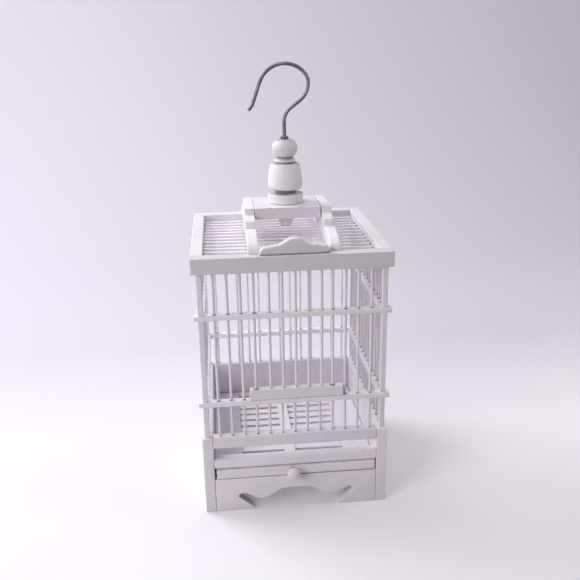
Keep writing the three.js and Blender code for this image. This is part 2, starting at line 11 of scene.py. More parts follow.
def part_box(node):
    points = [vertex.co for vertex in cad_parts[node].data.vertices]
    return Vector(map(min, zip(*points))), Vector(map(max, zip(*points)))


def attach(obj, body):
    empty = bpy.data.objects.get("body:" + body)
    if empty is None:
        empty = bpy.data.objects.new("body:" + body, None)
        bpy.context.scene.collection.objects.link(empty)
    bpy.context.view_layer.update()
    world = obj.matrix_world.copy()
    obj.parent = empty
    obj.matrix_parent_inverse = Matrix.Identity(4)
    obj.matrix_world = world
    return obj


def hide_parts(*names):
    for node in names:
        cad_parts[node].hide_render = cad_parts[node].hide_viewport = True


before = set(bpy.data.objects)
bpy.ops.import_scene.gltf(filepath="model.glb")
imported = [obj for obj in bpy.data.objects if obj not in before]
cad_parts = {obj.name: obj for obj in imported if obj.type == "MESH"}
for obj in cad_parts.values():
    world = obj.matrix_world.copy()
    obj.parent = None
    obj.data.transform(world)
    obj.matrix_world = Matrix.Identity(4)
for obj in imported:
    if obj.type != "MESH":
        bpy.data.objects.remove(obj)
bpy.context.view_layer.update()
millimetre = 0.001  # in metres
print("frame loaded, nodes:", len(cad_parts))


def cornersOf(node):
    low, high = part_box(node)
    return np.array(low) / millimetre, np.array(high) / millimetre


def middleOf(node):
    low, high = cornersOf(node)
    return (low + high) / 2


camera = {
    "place": (-0.0667, -0.7779, 0.4857),
    "lens": 45.98,
    "pitch": 18.95,  # degrees down
    "yaw": 5.25,  # degrees to the right
    "roll": -0.92,
}


def makeCamera():
    pitch, yaw, roll = (math.radians(camera[key]) for key in ("pitch", "yaw", "roll"))
    ahead = Vector((math.sin(yaw) * math.cos(pitch), math.cos(yaw) * math.cos(pitch), -math.sin(pitch)))
    level = Vector((math.cos(yaw), -math.sin(yaw), 0))
    above = level.cross(ahead)
    right = math.cos(roll) * level + math.sin(roll) * above
    up = math.cos(roll) * above - math.sin(roll) * level
    data = bpy.data.cameras.new("camera")
    data.lens = camera["lens"]
    data.clip_start = 0.01
    made = bpy.data.objects.new("camera", data)
    bpy.context.scene.collection.objects.link(made)
    turned = Matrix((right, up, -ahead)).transposed()
    made.matrix_world = Matrix.Translation(camera["place"]) @ turned.to_4x4()
    bpy.context.scene.camera = made


# A socket in a sum: an expression such as 1 - mask * 0.3 adds its Math nodes.
class Flow:
    def __init__(self, finish, socket):
        self.finish = finish
        self.socket = socket

    def maths(self, operation, first, second):
        return self.finish.add("Math", {"operation": operation}, {0: first, 1: second})

    def __add__(self, other):
        return self.maths("ADD", self, other)

    def __sub__(self, other):
        return self.maths("SUBTRACT", self, other)

    def __rsub__(self, other):
        return self.maths("SUBTRACT", other, self)

    def __mul__(self, other):
        return self.maths("MULTIPLY", self, other)

    __radd__ = __add__
    __rmul__ = __mul__


# A material, or the world, whose nodes are all made by add.
class Finish:
    def __init__(self, name, world=None):
        self.owner = world or bpy.data.materials.new(name)
        self.owner.use_nodes = True
        self.nodes = self.owner.node_tree.nodes
        self.links = self.owner.node_tree.links
        self.nodes.clear()
        self.place = self.add("TexCoord", {}, {}, "Object")

    # kind is the node's type, settings go first, then the sockets' values or links
    def add(self, kind, settings, inputs, output=0):
        made = self.nodes.new("ShaderNode" + kind)
        for key, value in settings.items():
            if key == "stops":
                self.setStops(made.color_ramp, value)
            else:
                setattr(made, key, value)
        for key, value in inputs.items():
            if isinstance(value, Flow):
                self.links.new(value.socket, made.inputs[key])
            else:
                made.inputs[key].default_value = value
        return Flow(self, made.outputs[output]) if len(made.outputs) else made

    def setStops(self, ramp, stops):
        while len(ramp.elements) < len(stops):
            ramp.elements.new(1)
        for element, (position, colour) in zip(ramp.elements, stops):
            element.position = position
            element.color = colour if isinstance(colour, tuple) else (colour, colour, colour, 1)

    # cloudy pattern from 0 to 1; scale is in cycles for each metre along x, y and z
    def cloud(self, scale, detail=2, rough=0.5, seed=0):
        stretched = self.add("VectorMath", {"operation": "MULTIPLY"}, {0: self.place, 1: scale})
        moved = self.add("VectorMath", {}, {0: stretched, 1: (seed, seed * 0.7, seed * 0.3)})
        return self.add("TexNoise", {}, {"Vector": moved, "Scale": 1, "Detail": detail, "Roughness": rough})

    def ramp(self, value, *stops):
        return self.add("ValToRGB", {"stops": stops}, {0: value})

    def mix(self, amount, first, second):
        return self.add("Mix", {"data_type": "RGBA"}, {0: amount, 6: first, 7: second}, 2)

    def attribute(self, name):
        return self.add("Attribute", {"attribute_name": name}, {}, "Fac")

    def bump(self, height, distance):
        return self.add("Bump", {}, {"Strength": 1, "Distance": distance, "Height": height})

    def surface(self, **sockets):
        inputs = {key.replace("_", " "): value for key, value in sockets.items()}
        shader = self.add("BsdfPrincipled", {}, inputs)
        self.add("OutputMaterial", {}, {0: shader})
        return self.owner


# An sRGB colour from 0 to 255, as a shader takes it.
def tone(red, green, blue):
    parts = [value / 255 for value in (red, green, blue)]
    return tuple(((part + 0.055) / 1.055) ** 2.4 for part in parts) + (1,)


# The same colour, lighter or darker. No paint reflects more than 94 percent.
def shaded(colour, shade):
    return tuple(min(part * shade, 0.94) for part in colour[:3]) + (1,)


paintTones = {
    "colour": tone(230, 223, 232),
    "cool": tone(214, 210, 224),
    "yellowed": tone(224, 219, 208),
    "thin": tone(196, 188, 190),  # where the brush left little paint
    "chip": tone(150, 138, 132),
    # painted shade and dirt where parts meet
    "grime": tone(118, 110, 112),
}
paintLook = {
    "coolShare": 0.5,
    "yellowedShare": 0.45,
    "thinShare": 0.6,
    "roughness": 0.42,
    "brushDepth": 0.00016,  # in metres, as all depths of bumps
    "grainDepth": 0.00003,
}


# White paint laid on by brush. fine gives how fast the brush marks change along x, y and z, as a
# number of marks for each metre: few along the board and many across it. patches is how strongly
# the paint has yellowed and thinned, and shade makes all its tones lighter or darker: above 1 it
# paints light on a piece, below 1 it paints shade.
def whitePaint(name, fine, patches=1.0, shade=1.0):
    look = paintLook
    tones = {key: shaded(value, shade) for key, value in paintTones.items()}
    finish = Finish(name)
    broad = finish.cloud((26, 26, 26), 3, 0.55)
    warm = finish.ramp(finish.cloud((17, 19, 23), 3, 0.6, 7), (0.50, 0), (0.72, 1))
    marks = finish.cloud(fine, 3, 0.6)
    bands = finish.cloud(tuple(value * 0.22 for value in fine), 2, 0.5, 3)
    grain = finish.cloud((1500, 1500, 1500), 2, 0.5)
    chips = finish.ramp(finish.cloud((120, 120, 120), 3, 0.7, 5), (0.60, 0), (0.66, 1))
    # spots break up the painted shade and dirt that darken the paint where parts meet
    spots = finish.ramp(finish.cloud((90, 90, 90), 2, 0.5, 9), (0.35, 0.35), (0.6, 1))
    worn = finish.attribute("wear") * chips
    shadeAndDirty = finish.attribute("grime") * spots
    cool = finish.ramp(broad, (0.35, 0), (0.7, 1)) * look["coolShare"]
    thin = finish.ramp(bands, (0.58, 0), (0.78, 1)) * finish.ramp(marks, (0.45, 0), (0.7, 1))
    colour = finish.mix(cool, tones["colour"], tones["cool"])
    colour = finish.mix(warm * (look["yellowedShare"] * patches), colour, tones["yellowed"])
    colour = finish.mix(thin * (look["thinShare"] * patches), colour, tones["thin"])
    colour = finish.mix(worn, colour, tones["chip"])
    colour = finish.mix(shadeAndDirty, colour, tones["grime"])
    brushed = finish.bump(marks * 0.7 + bands * 0.6 + broad * 0.5, look["brushDepth"])
    normal = finish.add("Bump", {}, {"Distance": look["grainDepth"], "Height": grain, "Normal": brushed})
    rough = marks * 0.16 + worn * 0.25 + look["roughness"]
    return finish.surface(Base_Color=colour, Roughness=rough, Normal=normal)


# The neck takes a grained finish whose tones are the shade under the bell: painted shade.
woodLook = {
    "tones": ((0.3, tone(138, 122, 128)), (0.55, tone(168, 150, 156)), (0.75, tone(184, 168, 172))),
    "pore": tone(108, 92, 96),
    "poreShare": 0.4,
    # painted shade and dirt at the ends of the neck
    "grime": tone(90, 78, 82),
    "shadeAndGrimeShare": 0.5,
    "roughness": 0.5,
    "depth": 0.0002,
}


def bareWood(name):
    look = woodLook
    finish = Finish(name)
    rings = finish.cloud((60, 60, 700), 4, 0.6)
    pores = finish.cloud((900, 900, 300), 2, 0.6, 4)
    openPores = finish.ramp(pores, (0.55, 0), (0.65, 1)) * look["poreShare"]
    colour = finish.mix(openPores, finish.ramp(rings, *look["tones"]), look["pore"])
    colour = finish.mix(finish.attribute("grime") * look["shadeAndGrimeShare"], colour, look["grime"])
    normal = finish.bump(rings * 0.5 + pores, look["depth"])
    return finish.surface(Base_Color=colour, Roughness=rings * 0.2 + look["roughness"], Normal=normal)


steelLook = {
    "tones": ((0.3, tone(88, 82, 94)), (0.5, tone(114, 107, 120)), (0.72, tone(142, 134, 148))),
    "metallic": 0.85,
    "roughness": 0.26,
    "depth": 0.00012,
}


def dullSteel(name):
    look = steelLook
    finish = Finish(name)
    stain = finish.cloud((90, 90, 90), 4, 0.65)
    scratches = finish.cloud((900, 900, 900), 3, 0.6, 2)
    colour = finish.ramp(stain, *look["tones"])
    normal = finish.bump(scratches + stain, look["depth"])
    rough = stain * 0.25 + scratches * 0.12 + look["roughness"]
    return finish.surface(Base_Color=colour, Metallic=look["metallic"], Roughness=rough, Normal=normal)


brushX = (16, 520, 520)  # brush marks for each metre along x, y and z
brushY = (520, 16, 520)
brushZ = (520, 520, 16)
brushRound = (40, 40, 620)
brushKnob = (60, 620, 60)
alongX = whitePaint("white paint brushed along x", brushX)
alongY = whitePaint("white paint brushed along y", brushY)
alongZ = whitePaint("white paint brushed along z", brushZ)
# painted shade: the roof's front rail and the door's crest take a darker copy of the paint
dimmedX = whitePaint("dimmed white paint along x", brushX, 1.0, 0.86)
# painted light: the base's middle rail and apron, the drawer's front and the front strips take a lighter
# copy of the paint
frontX = whitePaint("brightened white paint along x", brushX, 1.2, 1.09)
# painted light: the slats, the batten, the drawer's right stile, the roof bars and the back wall's strips
# take a lighter copy of the paint
lightenedX = whitePaint("lightened white paint along x", brushX, 0.5, 1.19)
lightenedY = whitePaint("lightened white paint along y", brushY, 0.5, 1.19)
# painted shade: the drawer's left stile, in the shadow of the base's left side, takes a darker copy of the
# paint
shadowedY = whitePaint("shadowed white paint along y", brushY, 1.0, 0.8)
# painted light: the base's right side and the bridge's sides take a lighter copy of the paint
brightY = whitePaint("brightened white paint along y", brushY, 0.8, 1.1)
# painted shade: the side, front and door bars take a paint a little darker than the boards'
barZ = whitePaint("worn white paint along z", brushZ, 0.4, 0.97)
# painted light: the back wall's bars take the lighter copy of the paint
lightenedZ = whitePaint("lightened white paint along z", brushZ, 0.4, 1.19)
# painted light: the collar, the bell, the ring and the stop bead take a lighter copy of the paint
roundZ = whitePaint("white paint brushed round an upright", brushRound, 0.6, 1.08)
# painted shade: the ball takes a darker copy of the paint
ballZ = whitePaint("dimmed white paint round an upright", brushRound, 0.6, 0.92)
roundY = whitePaint("white paint brushed round the knob", brushKnob, 0.5)
# painted shade: the neck's grained finish is toned as the shade under the bell
shadedNeckWood = bareWood("dark shadowToned wood")
hookSteel = dullSteel("dull steel wire")
print("finishes made")


# A shape is its points, its faces and two values for each point: how worn it is, and how much painted shade
# and dirt it takes.
def makeShape(points, faces, wear=None, grime=None):
    blank = np.zeros(len(points))
    return {
        "points": np.asarray(points, float),
        "faces": faces,
        "wear": blank if wear is None else wear,
        "grime": blank if grime is None else grime,
    }


def joined(shapes):
    offsets = np.cumsum([0] + [len(shape["points"]) for shape in shapes])
    faces = []
    for shape, offset in zip(shapes, offsets):
        faces += [[index + offset for index in face] for face in shape["faces"]]
    parts = {key: np.concatenate([shape[key] for shape in shapes]) for key in ("points", "wear", "grime")}
    return {**parts, "faces": faces}


# Quads between closed rings that follow one another: point k of ring r lies at r * across + k.
def ringFaces(rings, across):
    index = np.arange(rings * across).reshape(rings, across)
    beside = np.roll(index, -1, axis=1)
    quads = np.stack([index[:-1], beside[:-1], beside[1:], index[1:]], axis=-1)
    return quads.reshape(-1, 4).tolist()


# A tube of closed rings with one flat face over its first and its last ring.
def tubeFaces(rings, across):
    caps = [list(range(across))[::-1], list(range((rings - 1) * across, rings * across))]
    return ringFaces(rings, across) + caps


# Makes a shape's mesh with its finish, hangs it on the body it rides on and hides the nodes it
# replaces: the one of its own name, unless others are given.
def makePiece(name, shape, finish, body="cage", nodes=None, smoothAngle=40):
    mesh = bpy.data.meshes.new(name)
    mesh.from_pydata((shape["points"] * millimetre).tolist(), [], shape["faces"])
    for key in ("wear", "grime"):
        layer = mesh.attributes.new(key, "FLOAT", "POINT")
        layer.data.foreach_set("value", shape[key].astype(np.float32))
    mesh.shade_smooth()
    mesh.set_sharp_from_angle(angle=math.radians(smoothAngle))
    mesh.materials.append(finish)
    piece = bpy.data.objects.new(name, mesh)
    bpy.context.scene.collection.objects.link(piece)
    flat = piece.modifiers.new("flat faces stay flat", "WEIGHTED_NORMAL")
    flat.keep_sharp = True
    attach(piece, body)
    replaced = [name] if nodes is None else nodes
    if replaced:
        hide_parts(*replaced)


# Evenly spaced points on a straight line, without its start. Outlines are closed rows of such
# points in two dimensions, the outer one against the clock and holes with it.
def lineTo(start, end, spacing=8):
    start, end = np.array(start, float), np.array(end, float)
    steps = max(1, round(np.linalg.norm(end - start) / spacing))
    share = np.arange(1, steps + 1)[:, None] / steps
    return start + (end - start) * share


# A rectangle whose corners are quarter circles.
def rectangle(low, high, corner=1.0, steps=4):
    (left, bottom), (right, top) = low, high
    centres = [(right - corner, bottom + corner), (right - corner, top - corner),
               (left + corner, top - corner), (left + corner, bottom + corner)]
    points = []
    for quarter, centre in enumerate(centres):
        angle = (quarter - 1) * math.pi / 2 + np.linspace(0, math.pi / 2, steps + 1)
        arc = np.array(centre) + corner * np.stack([np.cos(angle), np.sin(angle)], axis=1)
        if points:
            points.extend(lineTo(points[-1], arc[0])[:-1])
        points.extend(arc)
    points.extend(lineTo(points[-1], points[0])[:-1])
    return np.array(points)


# A circle of points that runs with the clock, as a hole's row does.
def roundHole(centre, radius, sides=20):
    angle = -2 * math.pi * np.arange(sides) / sides
    return np.array(centre) + radius * np.stack([np.cos(angle), np.sin(angle)], axis=1)


# An elliptic quarter from start to end that leaves start towards corner and reaches end from it.
def quarterEdge(start, corner, end, steps=8):
    share = np.linspace(0, math.pi / 2, steps + 1)[1:, None]
    start, corner, end = (np.array(point, float) for point in (start, corner, end))
    return corner + (start - corner) * (1 - np.sin(share)) + (end - corner) * (1 - np.cos(share))


# A smooth S from start to end that is level at both, after half a cosine wave.
def easeEdge(start, end, steps=12):
    share = np.linspace(0, 1, steps + 1)[1:]
    rise = (1 - np.cos(math.pi * share)) / 2
    across = start[0] + (end[0] - start[0]) * share
    return np.stack([across, start[1] + (end[1] - start[1]) * rise], axis=1)


# The whole outline of a symmetrical board from its right half, which runs from the top down to the
# foot, with the middle of the foot at the given place.
def mirroredOutline(right, middle, foot):
    left = right[::-1] * (-1, 1)
    under = lineTo(right[-1], left[0])[:-1]
    over = lineTo(left[-1], right[0])[:-1]
    return np.concatenate([right, under, left, over])[::-1] + (middle, foot)


# Moves each point of a closed row to its inner side by the given distance, square to the row.
def movedIn(row, distance):
    before = row - np.roll(row, 1, axis=0)
    after = np.roll(row, -1, axis=0) - row
    before /= np.linalg.norm(before, axis=1)[:, None]
    after /= np.linalg.norm(after, axis=1)[:, None]
    inward = np.stack([-before[:, 1] - after[:, 1], before[:, 0] + after[:, 0]], axis=1)
    opening = 1 + np.sum(before * after, axis=1)
    return row + distance * inward / np.maximum(opening, 0.3)[:, None]


# Slow waves of a hand-planed board: each point moves by sines of sums of its place.
def handMade(points, amount, waveLength=30):
    x, y, z = (points / waveLength).T
    acrossX = np.sin(1.3 * y + 0.7 * z + 1)
    acrossY = np.sin(1.1 * z + 0.9 * x + 2)
    acrossZ = np.sin(1.2 * x + 0.8 * y + 3)
    return points + amount * np.stack([acrossX, acrossY, acrossZ], axis=1)


# Triangles that fill the outer row around the holes' rows, each turned against the clock.
def capTriangles(rows):
    corners = np.array(geometry.tessellate_polygon([[Vector((*point, 0)) for point in row] for row in rows]))
    first, second, third = np.concatenate(rows)[corners.T]
    along, aside = second - first, third - first
    against = along[:, 0] * aside[:, 1] - along[:, 1] * aside[:, 0] > 0
    return np.where(against[:, None], corners, corners[:, ::-1])


# A board cut from outlines and rounded along all its edges. Rows of the outline go up through the
# board's thickness; near both faces each row moves in by edge * (1 - cosine) as it nears the face.
def board(outlines, axis, low, high, edge=0.8, steps=4, uneven=0.1):
    turn = np.linspace(0, math.pi / 2, steps + 1)
    bothTurns = np.concatenate([turn[::-1], turn])
    levels = np.concatenate([low + edge * (1 - np.sin(turn[::-1])), high - edge * (1 - np.sin(turn))])
    insets = edge * (1 - np.cos(bothTurns))
    rubbed = np.sin(2 * bothTurns) ** 2
    shapes, caps = [], []
    for row in outlines:
        rings = np.stack([movedIn(row, inset) for inset in insets])
        heights = np.broadcast_to(levels[:, None, None], rings.shape[:2] + (1,))
        points = np.concatenate([rings, heights], axis=2).reshape(-1, 3)
        shapes.append(makeShape(points, ringFaces(len(levels), len(row)), np.repeat(rubbed, len(row))))
        caps.append(rings[-1])
    shape = joined(shapes)
    starts = np.cumsum([0] + [len(part["points"]) for part in shapes])
    top = np.concatenate([np.arange(end - len(row), end) for row, end in zip(outlines, starts[1:])])
    bottom = np.concatenate([np.arange(start, start + len(row)) for row, start in zip(outlines, starts)])
    triangles = capTriangles(caps)
    shape["faces"] += top[triangles].tolist() + bottom[triangles[:, ::-1]].tolist()
    across, along, through = shape["points"].T
    places = {"x": (through, across, along), "y": (across, low + high - through, along),
              "z": (across, along, through)}
    shape["points"] = handMade(np.stack(places[axis], axis=1), uneven)
    return shape


flatAxes = {"x": (1, 2), "y": (0, 2), "z": (0, 1)}  # the two axes that an outline lies in


# A plain board that fills the box of a node, with holes bored through it. trim is cut off at the
# low ends along x, y and z, and then at the high ends.
def plank(node, axis, holes=(), edge=0.8, corner=1.0, trim=(0, 0, 0, 0, 0, 0)):
    low, high = cornersOf(node)
    low, high = low + np.array(trim[:3]), high - np.array(trim[3:])
    first, second = flatAxes[axis]
    index = "xyz".index(axis)
    outline = rectangle((low[first], low[second]), (high[first], high[second]), corner)
    rows = [outline] + [roundHole(centre, radius) for centre, radius in holes]
    return board(rows, axis, low[index], high[index], edge)


# A turned piece: its edge, as rows of radius and height, goes round the upright axis at centre, or
# round one that stands out towards the front. It is worn where the edge bends.
def turned(edge, centre, sides, grime, axis="z"):
    angle = 2 * math.pi * np.arange(sides) / sides
    circle = np.stack([np.cos(angle), np.sin(angle)], axis=1)
    rings = edge[:, 0][:, None, None] * circle[None]
    heights = np.broadcast_to(edge[:, 1][:, None, None], rings.shape[:2] + (1,))
    points = np.concatenate([rings, heights], axis=2).reshape(-1, 3)
    if axis == "y":
        points = np.stack([points[:, 0], -points[:, 2], points[:, 1]], axis=1)
    steps = np.diff(edge, axis=0)
    steps /= np.linalg.norm(steps, axis=1)[:, None]
    bend = np.zeros(len(edge))
    bend[1:-1] = np.clip(1 - np.sum(steps[1:] * steps[:-1], axis=1), 0, 0.2) * 5
    points = points + np.array(centre, float)
    return makeShape(points, tubeFaces(len(edge), sides), np.repeat(bend, sides), np.repeat(grime, sides))


grilleLook = {
    "stripHeight": 5,
    "boredGap": 0.3,  # round a glued bar
    "slidingGap": 0.8,  # round a bar that slides
    "railGap": 1.2,  # of the door rail's worn holes
}

# Places that more than one piece needs, read from the frame.
postSides = ("front_left", "front_right", "back_left", "back_right")
postCentres = {side: middleOf("corner_post_" + side) for side in postSides}
barFoot = cornersOf("front_bar_1")[0][2]
barHead = cornersOf("front_bar_1")[1][2]
barRadius = float(np.diff([corner[0] for corner in cornersOf("front_bar_1")])[0] / 2)
barPitch = middleOf("front_bar_2")[0] - middleOf("front_bar_1")[0]
barSteps = np.arange(-6, 7) * barPitch
frontY = middleOf("front_bar_1")[1]
backY = postCentres["back_left"][1]
leftX = postCentres["front_left"][0]
rightX = postCentres["front_right"][0]
middleX = (leftX + rightX) / 2
middleY = (frontY + backY) / 2
baseTop = cornersOf("base_top_rail")[1][2]
roofUnder = cornersOf("roof_front_rail")[0][2]
roofTop = cornersOf("roof_front_rail")[1][2]
lowerStrip = cornersOf("front_lower_strip")[1][2] - grilleLook["stripHeight"]  # the strips' undersides
upperStrip = cornersOf("front_upper_strip")[0][2]
doorPlaces = [middleOf("door_bar_" + str(index))[0] for index in range(1, 6)]
fixedPlaces = [middleOf("front_bar_" + str(index))[0] for index in range(1, 9)]
guidePlaces = fixedPlaces[3:5]  # the two bars that the door's rail slides on
shortPlaces = [middleX + step for step in barSteps[4:9]]  # under the door
stackX = middleOf("finial_collar")[0]  # the turned beads and the hook turn about this line


def makeBase():
    for side, finish in (("left", alongY), ("right", brightY)):
        name = "base_" + side + "_side"
        makePiece(name, plank(name, "x", edge=0.9), finish)
        name = "drawer_runner_" + side
        makePiece(name, plank(name, "y", edge=0.6), alongY)
    crossBoards = {"base_back_panel": alongX, "base_top_rail": alongX, "base_middle_rail": frontX}
    for name, finish in crossBoards.items():
        makePiece(name, plank(name, "y"), finish)
    makePiece("base_apron", apron(), frontX)


apronCut = {  # the right half of the cut-out, reach from the middle and height from the floor
    "toe": (46, 0),
    "heel": (49, 5),
    "tip": (62.5, 16.5),
    "wing": (57, 20.5),
    "dip": (38, 12.5),
    "crown": (11, 24),
}


# The cut-out's right half is a heel, a straight run up to a tip, a round wing and two smooth
# waves; the left half mirrors it, and straight lines go round the board's other sides.
def apron():
    low, high = cornersOf("base_apron")
    corners = ("toe", "heel", "tip", "wing", "dip", "crown")
    toe, heel, tip, wing, dip, crown = (apronCut[key] for key in corners)
    right = np.concatenate([
        np.array([toe], float),
        quarterEdge(toe, (toe[0], heel[1]), heel, 5),
        lineTo(heel, tip, 4),
        quarterEdge(tip, (tip[0], wing[1]), wing, 7),
        easeEdge(wing, dip),
        easeEdge(dip, crown, 14),
    ])
    left = right[::-1] * (-1, 1)
    ends = [left[-1], (low[0], low[2]), (low[0], high[2]), (high[0], high[2]), (high[0], low[2]), right[0]]
    sides = [lineTo(start, end) for start, end in zip(ends, ends[1:])]
    outline = np.concatenate([right, lineTo(right[-1], left[0], 6), left[1:], *sides])[:-1]
    return board([outline[::-1]], "y", low[1], high[1])


drawerLook = {
    "topPlay": 1.2,
    "bottomPlay": 0.6,
    "leftPlay": 1.4,
    "rightPlay": 0.6,
    "lean": 0.005,  # the front's rise to the right, for each millimetre
    "ledge": 4,
    "ledgeHeight": 2.7,
    "slatWidth": 10,
    "slatPitch": 14.5,
    "slatWander": 0.25,
    "battenWidth": 12,
}


def makeDrawer():
    look = drawerLook
    trim = (look["leftPlay"], 0, look["bottomPlay"], look["rightPlay"], 0, look["topPlay"])
    front = plank("drawer_front", "y", trim=trim)
    front["points"][:, 2] += look["lean"] * front["points"][:, 0]
    makePiece("drawer_front", front, frontX, "drawer")
    for side, sign, finish in (("left", -1, shadowedY), ("right", 1, lightenedY)):
        name = "drawer_" + side + "_stile"
        makePiece(name, stile(name, sign), finish, "drawer")
    makePiece("drawer_back_rail", plank("drawer_back_rail", "y", edge=0.6), alongX, "drawer")
    makePiece("drawer_slats", slats(), lightenedX, "drawer")
    makePiece("drawer_batten", batten(), lightenedY, "drawer", nodes=())
    makePiece("drawer_knob", knob(), roundY, "drawer", smoothAngle=50)


# The stile's section has a ledge along its inner side, which carries the ends of the slats.
def stile(name, sign):
    low, high = cornersOf(name)
    outer, inner = (high[0], low[0]) if sign > 0 else (low[0], high[0])
    shoulder = inner + sign * drawerLook["ledge"]
    ledgeTop = low[2] + drawerLook["ledgeHeight"]
    row = [(outer, low[2]), (outer, high[2]), (shoulder, high[2]), (shoulder, ledgeTop), (inner, ledgeTop),
           (inner, low[2])]
    return board([np.array(row[::sign], float)], "y", low[1], high[1], edge=0.5)


# The slats take up the lower half of their node's box, and the batten lies on them in the upper.
def slats():
    low, high = cornersOf("drawer_slats")
    width, pitch = drawerLook["slatWidth"], drawerLook["slatPitch"]
    count = int((high[1] - low[1] + pitch - width) // pitch)
    shapes = []
    for index in range(count):
        wander = drawerLook["slatWander"] * math.sin(index * 2.1)
        centre = (low[1] + high[1]) / 2 + (index - (count - 1) / 2) * pitch + wander
        row = rectangle((low[0], centre - width / 2), (high[0], centre + width / 2), 0.8, 3)
        shapes.append(board([row], "z", low[2], (low[2] + high[2]) / 2, edge=0.5, steps=3))
    return joined(shapes)


def batten():
    low, high = cornersOf("drawer_slats")
    centre = middleOf("drawer_knob")[0]
    half = drawerLook["battenWidth"] / 2
    row = rectangle((centre - half, low[1]), (centre + half, high[1]), 0.8, 3)
    return board([row], "z", (low[2] + high[2]) / 2, high[2], edge=0.6, steps=3)


knobLook = {
    "radius": 6.6,
    "flatness": 0.9,  # the power of the sine: below 1 the head is fuller than a ball
    "head": 9,
    "tip": 0.8,
    "stem": 3.4,
    "stemLength": 1.2,
    "gap": 0.1,
    "spigot": 2,
    "spigotLength": 5,
    # painted shade and dirt in the corner between stem and front
    "shadeAndDirt": 0.7,  # in the corner between stem and front
}


# The knob's edge: a spigot in the front, a short stem, and a head whose radius follows the sine
# and whose reach follows the cosine of one turn.
def knob():
    look = knobLook
    radius, stem, spigot, half = look["radius"], look["stem"], look["spigot"], look["head"] / 2
    centre = middleOf("drawer_knob")
    face = cornersOf("drawer_front")[0][1]
    reach = face - cornersOf("drawer_knob")[0][1]
    turn = np.linspace(math.asin(stem / radius), math.pi - math.asin(look["tip"] / radius), 22)
    head = np.stack([radius * np.sin(turn) ** look["flatness"], reach - half - half * np.cos(turn)], axis=1)
    gap = look["gap"]
    foot = [(spigot, -look["spigotLength"]), (spigot, gap), (stem, gap), (stem, look["stemLength"])]
    shadeAndDirt = np.zeros(len(foot) + len(head))
    shadeAndDirt[2:5] = look["shadeAndDirt"]  # from the front to the head
    return turned(np.concatenate([foot, head]), (centre[0], face, centre[2]), 48, shadeAndDirt, "y")


barLook = {
    "sides": 14,
    "spacing": 9,  # of the rings along a bar
    "jointSpacing": 1.2,  # of the rings about a joint
    "shadeAndDirtReach": 1.3,  # from a joint
    "roofDepth": 5,  # of the roof bars' ends in the right rail
}


# A round bar from one point to another. Rings of the circle go along it; they lie on a line that
# bows by half a sine wave, and the radius swells and thins a little as a dowel's does.
def roundBar(start, end, joints, seed, bow=0.3):
    look = barLook
    sides = look["sides"]
    start, end = np.array(start, float), np.array(end, float)
    length = np.linalg.norm(end - start)
    direction = (end - start) / length
    regular = np.linspace(0, length, max(3, round(length / look["spacing"])))
    near = np.add.outer(np.array(joints), look["jointSpacing"] * np.arange(-2, 3)).ravel()
    along = np.unique(np.clip(np.concatenate([regular, near]), 0, length))
    side = np.cross(direction, (0, 1, 0) if abs(direction[1]) < 0.5 else (1, 0, 0))
    side /= np.linalg.norm(side)
    other = np.cross(direction, side)
    bowSide = math.cos(2.4 * seed) * side + math.sin(2.4 * seed) * other
    bowed = bow * math.sin(seed * 1.7 + 0.5) * np.sin(math.pi * along / length)
    centre = start + np.outer(along, direction) + np.outer(bowed, bowSide)
    swell = barRadius * (0.985 + 0.015 * np.sin(along / 17 + seed))
    angle = 2 * math.pi * np.arange(sides) / sides
    circle = np.outer(np.cos(angle), side) + np.outer(np.sin(angle), other)
    points = centre[:, None, :] + swell[:, None, None] * circle[None]
    # painted shade and dirt, fading away from each joint
    distance = np.min(np.abs(np.subtract.outer(along, np.array(joints))), axis=1)
    grime = np.repeat(np.exp(-((distance / look["shadeAndDirtReach"]) ** 2)), sides)
    return makeShape(points.reshape(-1, 3), tubeFaces(len(along), sides), None, grime)


# Where a wall's bar meets other parts, from its foot up; painted shade and dirt darken it there.
def wallJoints():
    height = grilleLook["stripHeight"]
    levels = (baseTop, lowerStrip, lowerStrip + height, upperStrip, upperStrip + height, roofUnder)
    return [level - barFoot for level in levels]


def makeWalls():
    for side in postSides:
        name = "corner_post_" + side
        makePiece(name, plank(name, "z", edge=0.4, corner=0.7), alongZ)
    makeGrille("back", [(middleX + step, backY) for step in barSteps], 0, lightenedZ)
    for side, x in (("left", leftX), ("right", rightX)):
        makeGrille(side, [(x, middleY + step) for step in barSteps], 5, barZ)
    makeFrontBars()
    makeStrips()


def makeGrille(wall, places, firstSeed, finish):
    shapes = [roundBar((x, y, barFoot), (x, y, barHead), wallJoints(), seed)
              for seed, (x, y) in enumerate(places, firstSeed)]
    makePiece(wall + "_bars", joined(shapes), finish, nodes=[wall + "_bars_and_lower_strip"])


def makeFrontBars():
    railTop = cornersOf("door_rail")[1][2]
    for index, x in enumerate(fixedPlaces):
        railJoint = [railTop - barFoot] if x in guidePlaces else []
        shape = roundBar((x, frontY, barFoot), (x, frontY, barHead), wallJoints() + railJoint, index + 20)
        makePiece("front_bar_" + str(index + 1), shape, barZ)
    shortHead = lowerStrip + grilleLook["stripHeight"] / 2
    joints = (baseTop - barFoot, lowerStrip - barFoot)
    shorts = [roundBar((x, frontY, barFoot), (x, frontY, shortHead), joints, index + 40, 0.1)
              for index, x in enumerate(shortPlaces)]
    makePiece("front_short_bars", joined(shorts), barZ, nodes=["front_lower_strip"])


